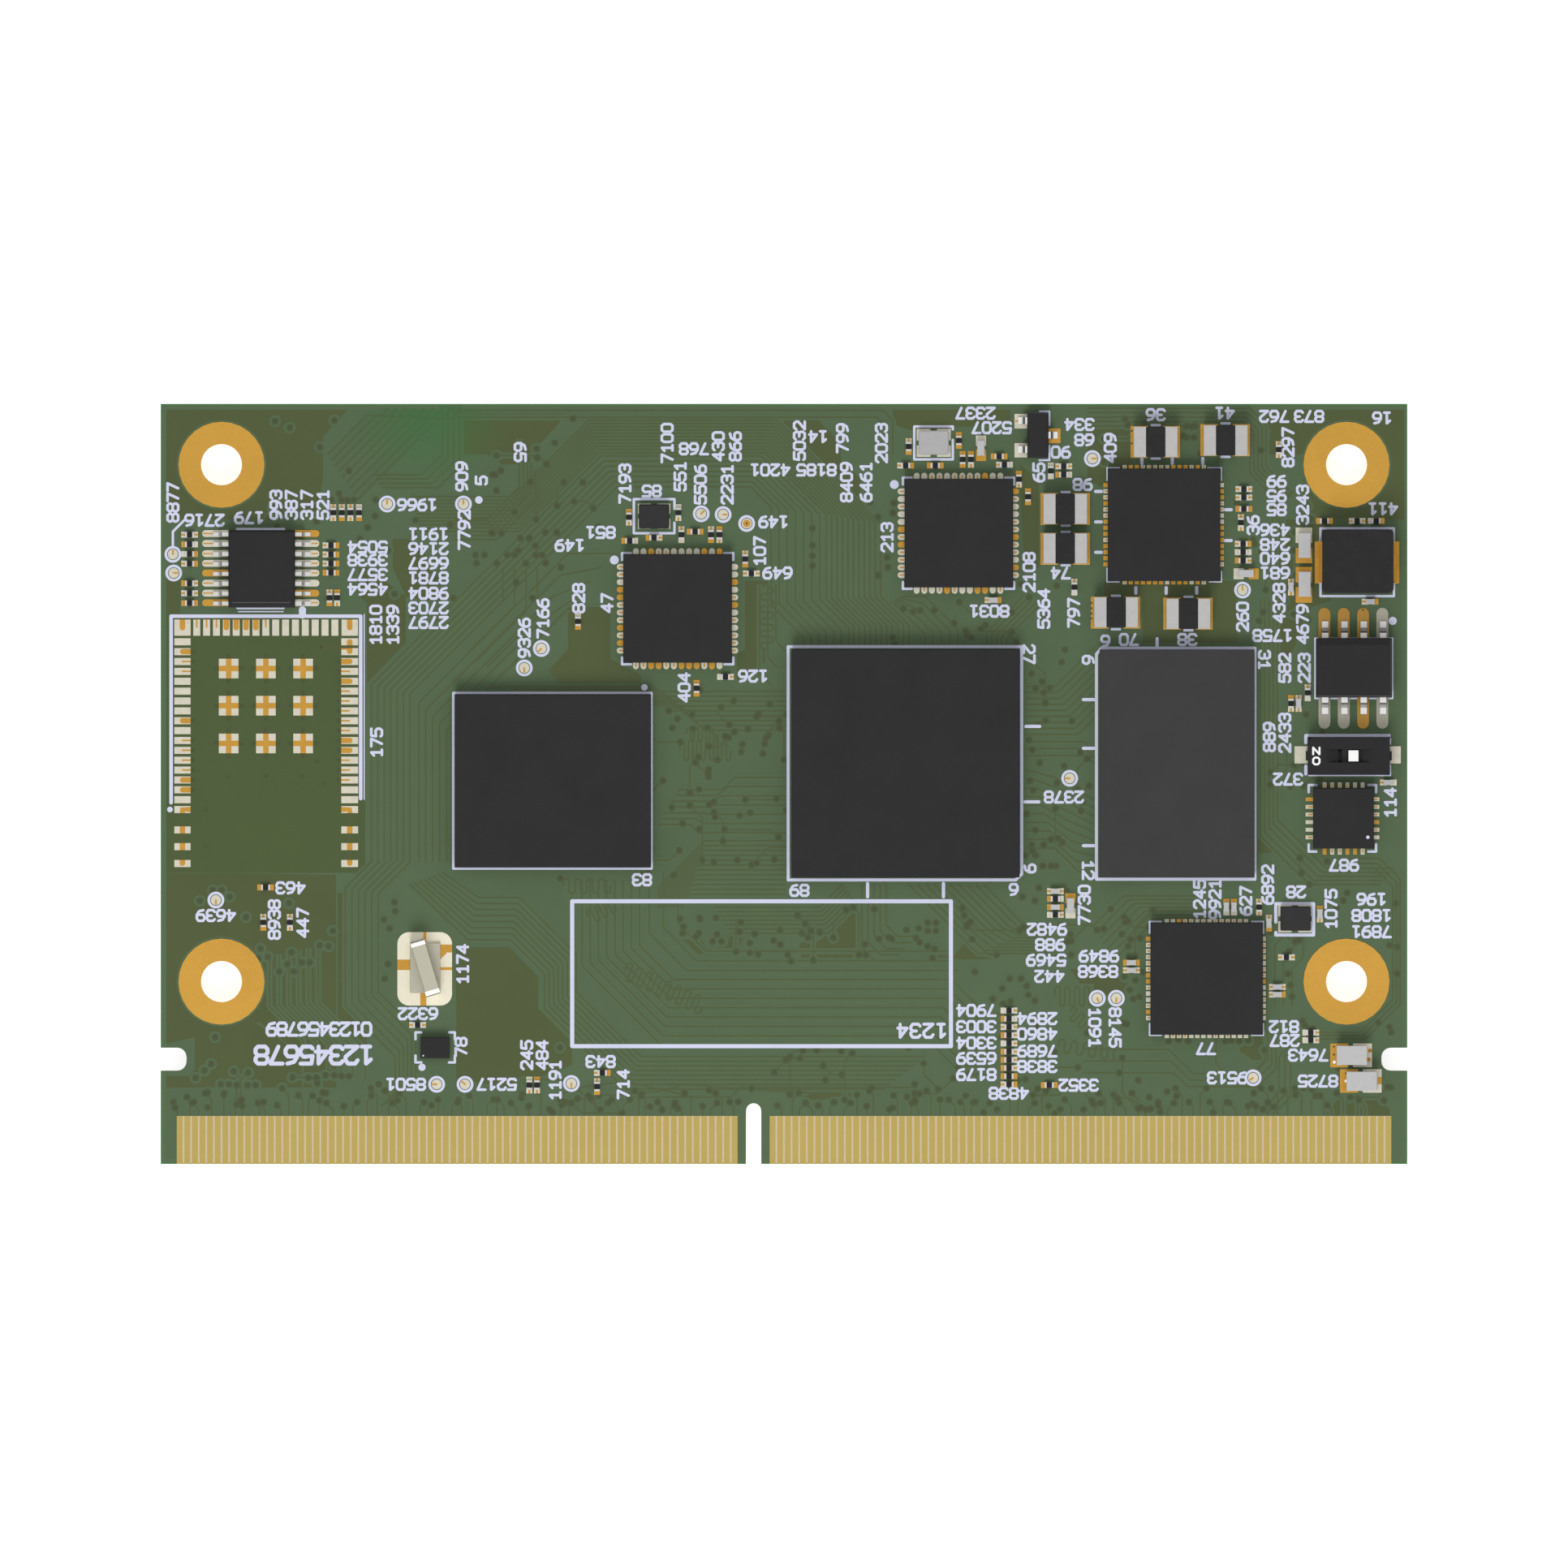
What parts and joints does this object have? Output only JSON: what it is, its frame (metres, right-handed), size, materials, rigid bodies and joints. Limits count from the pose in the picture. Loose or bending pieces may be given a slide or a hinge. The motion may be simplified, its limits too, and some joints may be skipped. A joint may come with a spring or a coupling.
{
  "type": "system on module",
  "caption": "Credit-card-sized computer module: green circuit board with a gold contact edge, four screw holes, chips, inductors and a small slide switch.",
  "frame": {"origin": "under the middle of the board, in the plane of the lowest underside parts", "axes": "+X along the contact edge, +Y from the contact edge to the far edge, +Z out of the component side"},
  "size_m": [0.082, 0.05, 0.004],
  "materials": {
    "solder_mask": "green solder mask over copper, satin",
    "package_black": "black moulding compound, matt",
    "package_grey": "dark grey moulding compound, matt",
    "dark_plastic": "black plastic, matt",
    "white_plastic": "white plastic, satin",
    "gold_plate": "thin gold plate over nickel",
    "tinned_metal": "matt tin plate",
    "inductor_moulding": "pressed iron powder, matt",
    "capacitor_ceramic": "fired ceramic with tinned ends"
  },
  "bodies": {
    "board": {"circuit_board": "solder_mask", "processor": "package_black", "memory": "package_grey", "flash_storage": "package_black", "power_controller": "package_black", "usb_hub": "package_black", "port_expander": "package_black", "clock_chip": "package_black", "ethernet_transceiver_left": "package_black", "ethernet_transceiver_right": "package_black", "level_shifter": "package_black", "boot_flash": "package_black", "diode_pair": "package_black", "crystal_1": "dark_plastic", "crystal_2": "dark_plastic", "crystal_3": "dark_plastic", "power_inductor_1": "tinned_metal", "power_inductor_2": "tinned_metal", "power_inductor_3": "tinned_metal", "power_inductor_4": "tinned_metal", "power_inductor_5": "tinned_metal", "power_inductor_6": "tinned_metal", "input_inductor": "inductor_moulding", "bulk_capacitor_1": "capacitor_ceramic", "bulk_capacitor_2": "capacitor_ceramic", "output_capacitor_1": "capacitor_ceramic", "output_capacitor_2": "capacitor_ceramic", "filter_capacitor_1": "capacitor_ceramic", "filter_capacitor_2": "capacitor_ceramic", "filter_capacitor_3": "capacitor_ceramic", "ground_test_loop": "tinned_metal", "switch_base": "dark_plastic", "switch_cover": "dark_plastic", "switch_terminal_left": "tinned_metal", "switch_terminal_right": "tinned_metal"},
    "switch": {"switch_slider": "white_plastic", "switch_contact": "gold_plate"}
  },
  "joints": [
    {"name": "switch_slide", "type": "slide", "parent": "board", "child": "switch", "axis": [-1, 0, 0], "range_m": [0, 0.00062]}
  ]
}
